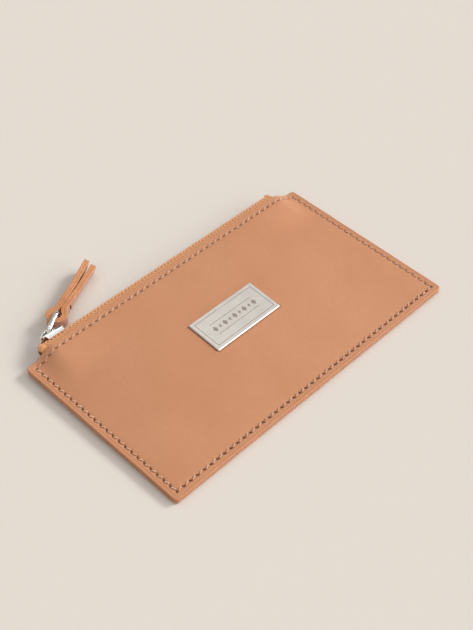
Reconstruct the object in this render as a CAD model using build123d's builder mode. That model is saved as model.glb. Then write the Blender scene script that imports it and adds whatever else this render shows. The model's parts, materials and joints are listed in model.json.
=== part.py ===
from build123d import *
import math
import os

os.makedirs("parts", exist_ok=True)

# A flat leather pouch lying on its back panel, with a coil zip along one long edge.
# X runs along the zip, Y from the sewn long edge to the zip edge, Z up.
# The origin is under the middle of the leather, on the face the pouch rests on.

# ---- driving dimensions, in millimetres ----
WIDTH = 141.4  # leather, along the zip
DEPTH = 79.0  # leather, across
CORNER_RADIUS = 2.0
LEATHER = 1.0
LINING = 0.2
TAPE = 0.5

SEAM_WIDTH = 3.8  # flat sewn border
SEAM_LIFT = 0.2  # the long seam stands this high off the resting face
SIDE_LIFT = 0.6  # the side seams stand a little higher
ZIP_EDGE_LIFT = 0.3
ZIP_EDGE_HEIGHT = 7.5  # top of the front panel at the zip edge
FULL_HALF_LENGTH = 61.5  # the cross-section is constant inside this, and closes beyond it
BACK_SETTLING = 8.0  # from the lifted seam to the resting face
ZIP_EDGE_RISE = 3.0  # from the resting face to the lifted zip edge

TAPE_START = -61.5
TAPE_END = 59.2
TAPE_INNER_EDGE = 30.0
TAPE_FACE = 41.7  # outer face of the upright part of both tapes
TAPE_BEND = 1.5  # outer radius of the tape's turn
COIL_START = -60.4
COIL_END = 57.4
COIL_HALF_WIDTH = 2.1
COIL_THICKNESS = 1.6
COIL_ROUNDING = 0.5
TOP_STOP_INSET = 0.2  # from the end of the tape
BOTTOM_STOP_LENGTH = 1.2
CHAIN_GAP = 0.5  # half the gap that lets the slider's divider through

STITCH_INSET = 2.8
STITCH_PITCH = 3.175
STITCH_SIZE = (2.3, 0.6, 0.25)
STITCH_SLANT = 12.0

NAME_PLATE_SIZE = (32.6, 16.0, 0.9)
NAME_PLATE_CENTRE = (-0.9, 2.9)
NAME_PLATE_SINK = 0.2
NAME_PLATE_CORNER = 0.5
NAME_PLATE_BEVEL = 0.25
PRONG_DIAMETER = 1.2
PRONG_SPACING = 24.0
BACKING_SIZE = (29.0, 6.0, 0.3)
BACKING_CLEARANCE = 0.05  # under the washer plate, and at the tips of the prongs

SLIDER_NOSE = -60.0
SLIDER_LENGTH = 11.0
SLIDER_HALF_WIDTH = 3.4
SLIDER_NOSE_HALF_WIDTH = 2.2
SLIDER_SHOULDER = 1.6  # from the nose to the full width
SLIDER_TAPER = 0.4
SLIDER_PLATE = 1.0
SLIDER_CORNER = 1.3
SLIDER_ROUNDING = 0.45
SLIDER_MARGIN = 0.4  # the divider and inner plate stop this far inside its ends
FLANGE_SETBACK = 1.0  # the flanges start this far behind the shoulder, and end short of the tail
INNER_PLATE = 0.9
INNER_PLATE_HALF_WIDTH = 1.4
DIVIDER_HALF_THICKNESS = 0.2
DIVIDER_LENGTH = 2.0
RUNNING_GAP = 0.3
BRIDGE_LENGTH = 9.4
BRIDGE_HEIGHT = 4.0
BRIDGE_THICKNESS = 1.1
BRIDGE_WIDTH = 1.6
BRIDGE_ROUNDING = 0.45

LINK_PIVOT = (-54.5, 45.85)
LINK_LENGTH = 9.7  # between the centres of its two end bars
LINK_HEIGHT = 6.0  # between the centres of its two side bars
LINK_WIRE = 1.3  # in the plane of the loop
LINK_BREADTH = 1.8  # across it
LINK_CORNER = 1.6
LINK_ANGLE = 32.0

STRAP_ANGLE = 26.0
STRAP_WIDTH = 4.3
STRAP_PLY = 1.1
STRAP_TAILS = (29.4, 28.5)  # from the link's far bar to the two tips
STRAP_LOOP_CENTRE = -0.9
STRAP_LOOP_RADIUS = 1.9  # inside of the loop
STRAP_NECK_RADIUS = 6.0
STRAP_PARTING = 0.05  # half the gap between the two tails
STRAP_STITCH_AT = 6.2
STRAP_STITCH_SPACING = 2.0
STRAP_THREAD = 0.6
STRAP_STITCH_HEIGHT = 0.4

# ---- heights and places that follow from them ----
HALF_WIDTH = WIDTH / 2
HALF_DEPTH = DEPTH / 2
SEAM_INNER_X = HALF_WIDTH - SEAM_WIDTH
SEAM_INNER_Y = HALF_DEPTH - SEAM_WIDTH
FRONT_OVER_BACK = LEATHER + 2 * LINING  # front panel's underside above the back's, at a seam
MID_HEIGHT = (ZIP_EDGE_LIFT + ZIP_EDGE_HEIGHT) / 2
HALF_OPENING = (ZIP_EDGE_HEIGHT - ZIP_EDGE_LIFT) / 2 - LEATHER  # inner faces at the zip edge
COIL_FACE = TAPE_FACE + COIL_THICKNESS
SLIDER_INNER_FACE = COIL_FACE + RUNNING_GAP
SLIDER_OUTER_FACE = SLIDER_INNER_FACE + SLIDER_PLATE
SLIDER_CENTRE = SLIDER_NOSE + SLIDER_LENGTH / 2


# ---- leather panels and linings ----
def back_curve(seam, rest, zip_edge, rise):
    """Lower edge of a cross-section through the back, raised by rise."""
    settled = -SEAM_INNER_Y + BACK_SETTLING
    risen = TAPE_INNER_EDGE + ZIP_EDGE_RISE
    Line((-HALF_DEPTH, seam + rise), (-SEAM_INNER_Y, seam + rise))
    Spline(
        (-SEAM_INNER_Y, seam + rise),
        (settled, rest + rise),
        tangents=[(1, 0), (1, 0)],
    )
    Line((settled, rest + rise), (TAPE_INNER_EDGE, rest + rise))
    Spline(
        (TAPE_INNER_EDGE, rest + rise),
        (risen, zip_edge + rise),
        tangents=[(1, 0), (1, 0)],
    )
    Line((risen, zip_edge + rise), (HALF_DEPTH, zip_edge + rise))


def front_curve(seam, zip_edge, rise):
    """Lower edge of a cross-section through the front, raised by rise."""
    slope = 2 * (zip_edge - seam) / (TAPE_INNER_EDGE + SEAM_INNER_Y)
    Line((-HALF_DEPTH, seam + rise), (-SEAM_INNER_Y, seam + rise))
    Spline(
        (-SEAM_INNER_Y, seam + rise),
        (TAPE_INNER_EDGE, zip_edge + rise),
        tangents=[(1, slope), (1, 0)],
    )
    Line((TAPE_INNER_EDGE, zip_edge + rise), (HALF_DEPTH, zip_edge + rise))


def close_ends(feet, thickness):
    """The two upright edges that join a lower and an upper curve."""
    for y, foot in zip((-HALF_DEPTH, HALF_DEPTH), feet):
        Line((y, foot), (y, foot + thickness))


def stations():
    """X of each cross-section, and whether the pouch is full there."""
    return [
        (-HALF_WIDTH, False),
        (-SEAM_INNER_X, False),
        (-FULL_HALF_LENGTH, True),
        (FULL_HALF_LENGTH, True),
        (SEAM_INNER_X, False),
        (HALF_WIDTH, False),
    ]


def back_sections(bottom, thickness):
    """Cross-sections of a back layer that lies bottom above the back panel's underside."""
    sections = []
    for x, full in stations():
        seam = SEAM_LIFT if full else SIDE_LIFT
        rest = 0.0 if full else SIDE_LIFT
        zip_edge = ZIP_EDGE_LIFT if full else SIDE_LIFT
        with BuildSketch(Plane.YZ.offset(x)) as section:
            with BuildLine():
                back_curve(seam, rest, zip_edge, bottom)
                back_curve(seam, rest, zip_edge, bottom + thickness)
                close_ends((seam + bottom, zip_edge + bottom), thickness)
            make_face()
        sections.append(section.sketch.face())
    return sections


def front_sections(bottom, thickness):
    """Cross-sections of a front layer that lies bottom above the front panel's underside."""
    sections = []
    for x, full in stations():
        seam = (SEAM_LIFT if full else SIDE_LIFT) + FRONT_OVER_BACK
        zip_edge = ZIP_EDGE_HEIGHT - LEATHER if full else SIDE_LIFT + FRONT_OVER_BACK
        with BuildSketch(Plane.YZ.offset(x)) as section:
            with BuildLine():
                front_curve(seam, zip_edge, bottom)
                front_curve(seam, zip_edge, bottom + thickness)
                close_ends((seam + bottom, zip_edge + bottom), thickness)
            make_face()
        sections.append(section.sketch.face())
    return sections


def trim_corners():
    """Keep what lies inside the rounded outline of the leather."""
    with BuildSketch(Plane.XY.offset(-1)) as outline:
        RectangleRounded(WIDTH, DEPTH, CORNER_RADIUS)
    extrude(outline.sketch, amount=ZIP_EDGE_HEIGHT + 2, mode=Mode.INTERSECT)


def cut_tape_notch():
    """A lining stops at the tape's inner edge, and runs past the tape's ends."""
    length = TAPE_END - TAPE_START
    depth = HALF_DEPTH - TAPE_INNER_EDGE
    with BuildSketch(Plane.XY.offset(-1)) as notch:
        with Locations((TAPE_START + length / 2, TAPE_INNER_EDGE + depth / 2)):
            Rectangle(length, depth)
    extrude(notch.sketch, amount=ZIP_EDGE_HEIGHT + 2, mode=Mode.SUBTRACT)


def front_underside(y):
    """Height of the front panel's underside on the long middle stretch, near its centre."""
    run = TAPE_INNER_EDGE + SEAM_INNER_Y
    seam = SEAM_LIFT + FRONT_OVER_BACK
    left = (TAPE_INNER_EDGE - y) / run
    return seam + (ZIP_EDGE_HEIGHT - LEATHER - seam) * (1 - left * left)


# The metal plate lies on the slope of the front panel.
plate_x, plate_y = NAME_PLATE_CENTRE
plate_rise = front_underside(plate_y + 1) - front_underside(plate_y - 1)
plate_tilt = math.atan2(plate_rise, 2)
plate_normal = (0, -math.sin(plate_tilt), math.cos(plate_tilt))
plate_seat = Plane(
    origin=(plate_x, plate_y, front_underside(plate_y) + LEATHER - NAME_PLATE_SINK),
    x_dir=(1, 0, 0),
    z_dir=plate_normal,
)
# leather between the two plates
BACKING_DEPTH = LEATHER - NAME_PLATE_SINK - BACKING_SIZE[2] - BACKING_CLEARANCE

with BuildPart() as name_plate:
    with BuildSketch(plate_seat):
        RectangleRounded(NAME_PLATE_SIZE[0], NAME_PLATE_SIZE[1], NAME_PLATE_CORNER)
    extrude(amount=NAME_PLATE_SIZE[2])
    rim = name_plate.faces().sort_by(Axis.Z)[-1].edges()
    chamfer(rim, NAME_PLATE_BEVEL)
    with BuildSketch(plate_seat):
        with GridLocations(PRONG_SPACING, 1, 2, 1):
            Circle(PRONG_DIAMETER / 2)
    extrude(amount=-(BACKING_DEPTH + BACKING_SIZE[2] - BACKING_CLEARANCE))

with BuildPart() as plate_backing:
    with BuildSketch(plate_seat.offset(-BACKING_DEPTH)):
        RectangleRounded(BACKING_SIZE[0], BACKING_SIZE[1], NAME_PLATE_CORNER)
        with GridLocations(PRONG_SPACING, 1, 2, 1):
            Circle(PRONG_DIAMETER / 2, mode=Mode.SUBTRACT)
    extrude(amount=-BACKING_SIZE[2])

with BuildPart() as front_panel:
    loft(front_sections(0, LEATHER), ruled=True)
    trim_corners()
    with BuildSketch(plate_seat):
        RectangleRounded(NAME_PLATE_SIZE[0], NAME_PLATE_SIZE[1], NAME_PLATE_CORNER)
    extrude(amount=2, mode=Mode.SUBTRACT)
    with BuildSketch(plate_seat):
        with GridLocations(PRONG_SPACING, 1, 2, 1):
            Circle(PRONG_DIAMETER / 2)
    extrude(amount=-2, mode=Mode.SUBTRACT)
    with BuildSketch(plate_seat.offset(-BACKING_DEPTH)):
        Rectangle(BACKING_SIZE[0], BACKING_SIZE[1])
    extrude(amount=-2, mode=Mode.SUBTRACT)

with BuildPart() as front_lining:
    loft(front_sections(-LINING, LINING), ruled=True)
    trim_corners()
    cut_tape_notch()

with BuildPart() as back_panel:
    loft(back_sections(0, LEATHER), ruled=True)
    trim_corners()

with BuildPart() as back_lining:
    loft(back_sections(LEATHER, LINING), ruled=True)
    trim_corners()
    cut_tape_notch()


# ---- zip ----
def tape_section(side):
    """One tape, seen along X: flat under the leather, then bent upright. side is 1 or -1."""
    flat = MID_HEIGHT + side * HALF_OPENING
    bend_y = TAPE_FACE - TAPE_BEND
    bend_z = flat - side * TAPE_BEND
    tip = MID_HEIGHT + side * CHAIN_GAP
    half = math.sqrt(0.5)
    outer_mid = (bend_y + TAPE_BEND * half, bend_z + side * TAPE_BEND * half)
    inner = TAPE_BEND - TAPE
    inner_mid = (bend_y + inner * half, bend_z + side * inner * half)
    inner_flat = flat - side * TAPE
    Line((TAPE_INNER_EDGE, flat), (bend_y, flat))
    ThreePointArc((bend_y, flat), outer_mid, (TAPE_FACE, bend_z))
    inner_face = TAPE_FACE - TAPE
    Polyline((TAPE_FACE, bend_z), (TAPE_FACE, tip), (inner_face, tip), (inner_face, bend_z))
    ThreePointArc((inner_face, bend_z), inner_mid, (bend_y, inner_flat))
    Polyline((bend_y, inner_flat), (TAPE_INNER_EDGE, inner_flat), (TAPE_INNER_EDGE, flat))


with BuildPart() as front_zip_tape:
    with BuildSketch(Plane.YZ.offset(TAPE_START)):
        with BuildLine():
            tape_section(1)
        make_face()
    extrude(amount=TAPE_END - TAPE_START)

with BuildPart() as back_zip_tape:
    with BuildSketch(Plane.YZ.offset(TAPE_START)):
        with BuildLine():
            tape_section(-1)
        make_face()
    extrude(amount=TAPE_END - TAPE_START)


def upright(y):
    """A plane that faces out of the zip, with its origin at the zip's mid height."""
    return Plane(origin=(0, y, MID_HEIGHT), x_dir=(1, 0, 0), z_dir=(0, 1, 0))


def upright_bar(y, start, end, low, high, amount):
    """Extrude a rectangle out of the plane at y: from X start to end, low to high above mid."""
    with BuildSketch(upright(y)) as bar:
        with Locations(((start + end) / 2, -(low + high) / 2)):
            Rectangle(end - start, high - low)
    extrude(bar.sketch, amount=amount)


with BuildPart() as front_zip_coil:
    upright_bar(TAPE_FACE, COIL_START, COIL_END, CHAIN_GAP, COIL_HALF_WIDTH, COIL_THICKNESS)
    fillet(front_zip_coil.faces().sort_by(Axis.Y)[-1].edges().filter_by(Axis.X), COIL_ROUNDING)

with BuildPart() as back_zip_coil:
    upright_bar(TAPE_FACE, COIL_START, COIL_END, -COIL_HALF_WIDTH, -CHAIN_GAP, COIL_THICKNESS)
    fillet(back_zip_coil.faces().sort_by(Axis.Y)[-1].edges().filter_by(Axis.X), COIL_ROUNDING)

with BuildPart() as zip_top_stops:
    for low, high in ((CHAIN_GAP, COIL_HALF_WIDTH), (-COIL_HALF_WIDTH, -CHAIN_GAP)):
        upright_bar(TAPE_FACE, TAPE_START + TOP_STOP_INSET, COIL_START, low, high, COIL_THICKNESS)

with BuildPart() as zip_bottom_stop:
    stop_end = COIL_END + BOTTOM_STOP_LENGTH
    upright_bar(TAPE_FACE, COIL_END, stop_end, -COIL_HALF_WIDTH, COIL_HALF_WIDTH, COIL_THICKNESS)


# ---- stitches ----
def closing(x):
    """0 where the cross-section is full, 1 at the side seams, and between them on the slope."""
    beyond = max(0.0, abs(x) - FULL_HALF_LENGTH)
    return min(1.0, beyond / (SEAM_INNER_X - FULL_HALF_LENGTH))


def crosses_bend(x):
    """A stitch here would lie across the line where the slope starts or ends."""
    nearest = min(abs(abs(x) - FULL_HALF_LENGTH), abs(abs(x) - SEAM_INNER_X))
    return nearest < STITCH_SIZE[0] / 2


def row(start, end):
    """Evenly spaced places between two ends, close to the stitch pitch."""
    count = round((end - start) / STITCH_PITCH)
    step = (end - start) / count
    return [start + step * (i + 0.5) for i in range(count)]


def row_planes(y, full, seam, facing):
    """A plane for each stitch of a row along X, on a face that is full high and falls to seam."""
    end = HALF_WIDTH - STITCH_INSET
    fall = (full - seam) / (SEAM_INNER_X - FULL_HALF_LENGTH)
    planes = []
    for x in row(-end, end):
        if crosses_bend(x):
            continue
        share = closing(x)
        tilt = 0.0
        if 0 < share < 1:
            tilt = fall if x < 0 else -fall
        planes.append(
            Plane(
                origin=(x, y, full + (seam - full) * share),
                x_dir=(1, 0, tilt),
                z_dir=(-tilt * facing, 0, facing),
            )
        )
    return planes


def stitch_planes(zip_height, long_height, side_height, facing):
    """A plane for every stitch round the border, its Z pointing out of the leather."""
    edge_x = HALF_WIDTH - STITCH_INSET
    edge_y = HALF_DEPTH - STITCH_INSET
    planes = row_planes(-edge_y, long_height, side_height, facing)
    planes += row_planes(edge_y, zip_height, side_height, facing)
    for y in row(-edge_y, edge_y):
        for x in (-edge_x, edge_x):
            planes.append(Plane(origin=(x, y, side_height), x_dir=(0, 1, 0), z_dir=(0, 0, facing)))
    return planes


def sew(planes, slant):
    """One short slanted stitch on each plane."""
    on_surface = (Align.CENTER, Align.CENTER, Align.MIN)
    with Locations(*planes):
        Box(*STITCH_SIZE, rotation=(0, 0, slant), align=on_surface)


front_side_top = SIDE_LIFT + FRONT_OVER_BACK + LEATHER
front_long_top = SEAM_LIFT + FRONT_OVER_BACK + LEATHER

with BuildPart() as seam_thread_front:
    sew(stitch_planes(ZIP_EDGE_HEIGHT, front_long_top, front_side_top, 1), STITCH_SLANT)

with BuildPart() as seam_thread_back:
    sew(stitch_planes(ZIP_EDGE_LIFT, SEAM_LIFT, SIDE_LIFT, -1), -STITCH_SLANT)

# ---- slider: an outer plate with flanges and a small inner plate, joined by the divider ----
flange_inner = COIL_HALF_WIDTH + RUNNING_GAP
flange_outer = SLIDER_HALF_WIDTH - SLIDER_TAPER
inner_plate_top = TAPE_FACE - TAPE - RUNNING_GAP
slider_tail = SLIDER_NOSE + SLIDER_LENGTH

with BuildPart() as slider_body:
    with BuildSketch(upright(SLIDER_INNER_FACE)):
        with BuildLine():
            Polyline(
                (SLIDER_NOSE, -SLIDER_NOSE_HALF_WIDTH),
                (SLIDER_NOSE + SLIDER_SHOULDER, -SLIDER_HALF_WIDTH),
                (SLIDER_CENTRE + SLIDER_SHOULDER, -SLIDER_HALF_WIDTH),
                (slider_tail, -flange_outer),
                (slider_tail, flange_outer),
                (SLIDER_CENTRE + SLIDER_SHOULDER, SLIDER_HALF_WIDTH),
                (SLIDER_NOSE + SLIDER_SHOULDER, SLIDER_HALF_WIDTH),
                (SLIDER_NOSE, SLIDER_NOSE_HALF_WIDTH),
                close=True,
            )
        make_face()
        fillet(vertices(), SLIDER_CORNER)
    extrude(amount=SLIDER_PLATE)
    fillet(slider_body.faces().sort_by(Axis.Y)[-1].edges(), SLIDER_ROUNDING)
    flange_start = SLIDER_NOSE + SLIDER_SHOULDER + FLANGE_SETBACK
    flange_end = slider_tail - FLANGE_SETBACK
    flange_depth = TAPE_FACE + RUNNING_GAP - SLIDER_INNER_FACE
    for low, high in ((flange_inner, flange_outer), (-flange_outer, -flange_inner)):
        upright_bar(SLIDER_INNER_FACE, flange_start, flange_end, low, high, flange_depth)
    post_start = SLIDER_NOSE + SLIDER_MARGIN
    upright_bar(
        inner_plate_top,
        post_start,
        post_start + DIVIDER_LENGTH,
        -DIVIDER_HALF_THICKNESS,
        DIVIDER_HALF_THICKNESS,
        SLIDER_INNER_FACE - inner_plate_top,
    )
    upright_bar(
        inner_plate_top,
        SLIDER_NOSE + SLIDER_MARGIN,
        slider_tail - SLIDER_MARGIN,
        -INNER_PLATE_HALF_WIDTH,
        INNER_PLATE_HALF_WIDTH,
        -INNER_PLATE,
    )

with BuildPart() as slider_bridge:
    bridge_plane = Plane.XY.offset(MID_HEIGHT - BRIDGE_WIDTH / 2)
    outer = BRIDGE_LENGTH / 2
    inner = outer - BRIDGE_THICKNESS
    base = SLIDER_OUTER_FACE
    with BuildSketch(bridge_plane):
        with BuildLine():
            ThreePointArc(
                (SLIDER_CENTRE - outer, base),
                (SLIDER_CENTRE, base + BRIDGE_HEIGHT),
                (SLIDER_CENTRE + outer, base),
            )
            Line((SLIDER_CENTRE + outer, base), (SLIDER_CENTRE + inner, base))
            ThreePointArc(
                (SLIDER_CENTRE + inner, base),
                (SLIDER_CENTRE, base + BRIDGE_HEIGHT - BRIDGE_THICKNESS),
                (SLIDER_CENTRE - inner, base),
            )
            Line((SLIDER_CENTRE - inner, base), (SLIDER_CENTRE - outer, base))
        make_face()
    extrude(amount=BRIDGE_WIDTH)
    fillet(slider_bridge.edges().filter_by(GeomType.CIRCLE), BRIDGE_ROUNDING)

# ---- pull link: a closed loop of flattened wire standing on edge through the bridge ----
link_direction = (math.cos(math.radians(LINK_ANGLE)), math.sin(math.radians(LINK_ANGLE)))
link_plane = Plane(
    origin=(LINK_PIVOT[0], LINK_PIVOT[1], MID_HEIGHT),
    x_dir=(link_direction[0], link_direction[1], 0),
    z_dir=(link_direction[1], -link_direction[0], 0),
)

with BuildPart() as pull_link:
    half = LINK_HEIGHT / 2
    near = LINK_CORNER
    far = LINK_LENGTH - LINK_CORNER
    straight = half - LINK_CORNER
    with BuildLine(link_plane):
        side_bar = Line((near, -half), (far, -half))
        CenterArc((far, -straight), LINK_CORNER, 270, 90)
        Line((LINK_LENGTH, -straight), (LINK_LENGTH, straight))
        CenterArc((far, straight), LINK_CORNER, 0, 90)
        Line((far, half), (near, half))
        CenterArc((near, straight), LINK_CORNER, 90, 90)
        Line((0, straight), (0, -straight))
        CenterArc((near, -straight), LINK_CORNER, 180, 90)
    with BuildSketch(Plane(origin=side_bar @ 0, x_dir=link_plane.z_dir, z_dir=side_bar % 0)):
        Ellipse(LINK_BREADTH / 2, LINK_WIRE / 2)
    sweep()

# ---- strap: two bonded plies folded round the link's far bar, with a stitch at the neck ----
far_bar = (
    LINK_PIVOT[0] + LINK_LENGTH * link_direction[0],
    LINK_PIVOT[1] + LINK_LENGTH * link_direction[1],
)
strap_direction = (math.cos(math.radians(STRAP_ANGLE)), math.sin(math.radians(STRAP_ANGLE)), 0)
strap_plane = Plane(
    origin=(far_bar[0], far_bar[1], MID_HEIGHT - STRAP_WIDTH / 2),
    x_dir=strap_direction,
    z_dir=(0, 0, 1),
)
neck_rise = STRAP_PARTING + STRAP_NECK_RADIUS
neck_x = STRAP_LOOP_CENTRE + math.sqrt((STRAP_NECK_RADIUS + STRAP_LOOP_RADIUS) ** 2 - neck_rise**2)
neck_angle = math.degrees(math.atan2(neck_rise, neck_x - STRAP_LOOP_CENTRE))


def strap_edge(depth, tail, side):
    """One face of a ply from the loop's far end to the tail's tip, depth inside the leather."""
    loop = STRAP_LOOP_RADIUS + depth
    if side > 0:
        CenterArc((STRAP_LOOP_CENTRE, 0), loop, neck_angle, 180 - neck_angle)
        CenterArc((neck_x, neck_rise), STRAP_NECK_RADIUS - depth, neck_angle + 180, 90 - neck_angle)
    else:
        CenterArc((STRAP_LOOP_CENTRE, 0), loop, 180, 180 - neck_angle)
        CenterArc((neck_x, -neck_rise), STRAP_NECK_RADIUS - depth, 90, 90 - neck_angle)
    Line((neck_x, side * (STRAP_PARTING + depth)), (tail, side * (STRAP_PARTING + depth)))


def strap_ply(depth):
    """One ply of the folded strap, depth away from the inside of the loop."""
    with BuildSketch(strap_plane) as loop:
        for side, tail in zip((1, -1), STRAP_TAILS):
            near = STRAP_LOOP_CENTRE - STRAP_LOOP_RADIUS - depth
            with BuildLine():
                strap_edge(depth, tail, side)
                strap_edge(depth + STRAP_PLY, tail, side)
                Line((near, 0), (near - STRAP_PLY, 0))
                low = side * (STRAP_PARTING + depth)
                Line((tail, low), (tail, low + side * STRAP_PLY))
            make_face()
    extrude(loop.sketch, amount=STRAP_WIDTH)


def strap_stitch_plane(height):
    """Across the tails at the neck stitch."""
    reach = STRAP_PARTING + 2 * STRAP_PLY + height
    origin = strap_plane.from_local_coords(Vector(STRAP_STITCH_AT, reach, STRAP_WIDTH / 2))
    return Plane(origin=origin, x_dir=(0, 0, 1), z_dir=-strap_plane.y_dir)


def punch_strap():
    """The two needle holes at the neck."""
    with BuildSketch(strap_stitch_plane(1)) as holes:
        with GridLocations(STRAP_STITCH_SPACING, 1, 2, 1):
            Circle(STRAP_THREAD / 2)
    extrude(holes.sketch, amount=2 * (STRAP_PARTING + 2 * STRAP_PLY + 1), mode=Mode.SUBTRACT)


with BuildPart() as strap_inner_ply:
    strap_ply(0)
    punch_strap()

with BuildPart() as strap_outer_ply:
    strap_ply(STRAP_PLY)
    punch_strap()

with BuildPart() as strap_stitch:
    through = 2 * (STRAP_PARTING + 2 * STRAP_PLY)
    with BuildSketch(strap_stitch_plane(0)):
        with GridLocations(STRAP_STITCH_SPACING, 1, 2, 1):
            Circle(STRAP_THREAD / 2)
    extrude(amount=through)
    with BuildSketch(strap_stitch_plane(0), strap_stitch_plane(-through - STRAP_STITCH_HEIGHT)):
        SlotCenterToCenter(STRAP_STITCH_SPACING, STRAP_THREAD)
    extrude(amount=-STRAP_STITCH_HEIGHT)

# ---- write each piece ----
pieces = {
    "front_panel": front_panel,
    "back_panel": back_panel,
    "front_lining": front_lining,
    "back_lining": back_lining,
    "front_zip_tape": front_zip_tape,
    "back_zip_tape": back_zip_tape,
    "front_zip_coil": front_zip_coil,
    "back_zip_coil": back_zip_coil,
    "zip_top_stops": zip_top_stops,
    "zip_bottom_stop": zip_bottom_stop,
    "seam_thread_front": seam_thread_front,
    "seam_thread_back": seam_thread_back,
    "name_plate": name_plate,
    "plate_backing": plate_backing,
    "slider_body": slider_body,
    "slider_bridge": slider_bridge,
    "pull_link": pull_link,
    "strap_outer_ply": strap_outer_ply,
    "strap_inner_ply": strap_inner_ply,
    "strap_stitch": strap_stitch,
}
for label, piece in pieces.items():
    piece.part.label = label
    export_step(piece.part, f"parts/{label}.step")
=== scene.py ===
import json
from math import atan2, cos, pi, radians, sin, sqrt

import bpy
import numpy as np
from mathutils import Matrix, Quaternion, Vector
from mathutils.geometry import delaunay_2d_cdt


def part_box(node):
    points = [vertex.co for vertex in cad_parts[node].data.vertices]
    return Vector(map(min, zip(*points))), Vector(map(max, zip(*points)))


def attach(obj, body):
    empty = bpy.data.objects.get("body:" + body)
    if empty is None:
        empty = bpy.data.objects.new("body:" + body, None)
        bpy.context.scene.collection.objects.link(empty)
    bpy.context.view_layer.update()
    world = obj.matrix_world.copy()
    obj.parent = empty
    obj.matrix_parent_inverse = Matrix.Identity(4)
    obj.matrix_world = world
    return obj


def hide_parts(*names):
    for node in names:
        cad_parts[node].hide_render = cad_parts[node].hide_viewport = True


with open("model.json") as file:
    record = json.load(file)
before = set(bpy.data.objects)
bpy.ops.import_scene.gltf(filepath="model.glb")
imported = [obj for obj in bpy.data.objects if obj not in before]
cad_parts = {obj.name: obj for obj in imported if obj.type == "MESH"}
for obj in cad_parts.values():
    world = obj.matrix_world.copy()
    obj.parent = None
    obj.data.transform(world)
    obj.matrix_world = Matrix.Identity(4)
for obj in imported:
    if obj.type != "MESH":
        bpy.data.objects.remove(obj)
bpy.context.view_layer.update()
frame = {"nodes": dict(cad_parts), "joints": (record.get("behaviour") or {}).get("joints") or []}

# A flat leather pouch with a coil zip. Lengths below are millimetres in the frame of the CAD
# model: X along the zip, Y towards the zip edge, Z up. They become metres when a mesh is made.
MM = 0.001
X_AXIS = np.array((1.0, 0.0, 0.0))
Z_AXIS = np.array((0.0, 0.0, 1.0))


def node_box(name):
    """Lowest and highest corner of a CAD node, in millimetres."""
    low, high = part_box(name)
    return np.array(low) / MM, np.array(high) / MM


# ---- sizes that come from the frame ----
front_low, front_high = node_box("front_panel")
back_high = node_box("back_panel")[1]
tape_low, tape_high = node_box("front_zip_tape")
back_tape_low = node_box("back_zip_tape")[0]
coil_low, coil_high = node_box("front_zip_coil")
plate_low, plate_high = node_box("name_plate")
strap_low, strap_high = node_box("strap_outer_ply")

HALF_WIDTH = front_high[0]
HALF_DEPTH = front_high[1]
ZIP_EDGE_TOP = front_high[2]
LONG_SEAM_UNDERSIDE = front_low[2]  # of the front panel
MID_HEIGHT = (tape_high[2] + back_tape_low[2]) / 2
CHAIN_GAP = tape_low[2] - MID_HEIGHT
PLATE_MIDDLE = (plate_low + plate_high) / 2
PLATE_HALF = (plate_high - plate_low) / 2
strap_swing = next(joint for joint in frame["joints"] if joint["name"] == "strap_swing")
FAR_BAR = np.array(strap_swing["pos_m"]) / MM  # of the link, where the strap hangs

# ---- sizes of the leather work ----
LEATHER = 1.0
LINING = 0.2
CORNER_RADIUS = 1.6
SEAM_WIDTH = 3.8
SIDE_LIFT_NEAR = 0.15  # the side seams stand this high off the floor by the long seam
SIDE_LIFT_FAR = back_high[2] - LEATHER + 0.45  # and this high by the zip
LONG_LIFT = LONG_SEAM_UNDERSIDE - LEATHER - 2 * LINING
ZIP_EDGE_LIFT = 0.3
FULL_HALF_LENGTH = 58.5  # the zip edge is full inside this, and closes beyond it
SIDE_SEAM = HALF_WIDTH - SEAM_WIDTH  # where the sewn borders at the sides start
ZIP_END_ROUNDING = 0.6  # 0 for a straight slope where the zip edge closes, 1 for an S-curve
EASE_START = 16.0  # the middle of the pouch starts to close this far from its centre
TAPE_INNER_EDGE = tape_low[1]
ZIP_BAND_START = 20.0  # the sides start to stiffen towards the zip here
RIPPLE_HEIGHT = 0.1
PLATE_PRESS = 0.3  # the plate sinks this far into the front
PLATE_RISE = (-0.15, 0.4)  # the face comes back up between these distances from its outline
PLATE_BULGE, BULGE_DISTANCE, BULGE_WIDTH = 0.05, 0.9, 0.6  # of the leather round the plate
SEAM_HOLD = (SEAM_WIDTH, 12)  # the leather is still this near its edge, and free this far in
PLATE_HOLD = (0.5, 6)  # the same for the plate
LONG_SLOPE_END = -HALF_DEPTH + 11  # the back reaches the floor here
ZIP_SLOPE_END = TAPE_INNER_EDGE + 3
BACK_SLOPE_START = FULL_HALF_LENGTH - 6
BACK_RIPPLE = 0.04

STITCH_INSET = 2.8
STITCH_PITCH = 3.175
STITCH_SHARES = (0, 0.04, 0.1, 0.17, 0.24, 0.36, 0.5, 0.64, 0.76, 0.83, 0.9, 0.96)
HOLE_ANGLE = radians(-28)  # the awl's slant against the row
HOLE_LENGTH = 0.8
HOLE_BREADTH = 0.37
HOLE_DEPTH = 0.55
HOLE_OPENINGS = (1.0, 0.45, 0.65, 0.9)  # along the long seam, the +X side, the zip, the -X side; they set the holes' depth and painted shade
GROOVE_DEPTH, GROOVE_WIDTH = 0.16, 0.8  # of the dip that the stitches pull
CREASE_INSET = 1.1
CREASE_DEPTH, CREASE_WIDTH = 0.11, 0.17
THREAD_RADIUS = 0.27


def smooth(value, low, high):
    """0 below low, 1 above high, and an even S-curve between."""
    share = np.clip((value - low) / (high - low), 0, 1)
    return share * share * (3 - 2 * share)


def bell(offset, width):
    """1 at no offset, falling away evenly on both sides."""
    return np.exp(-((offset / width) ** 2))


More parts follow.
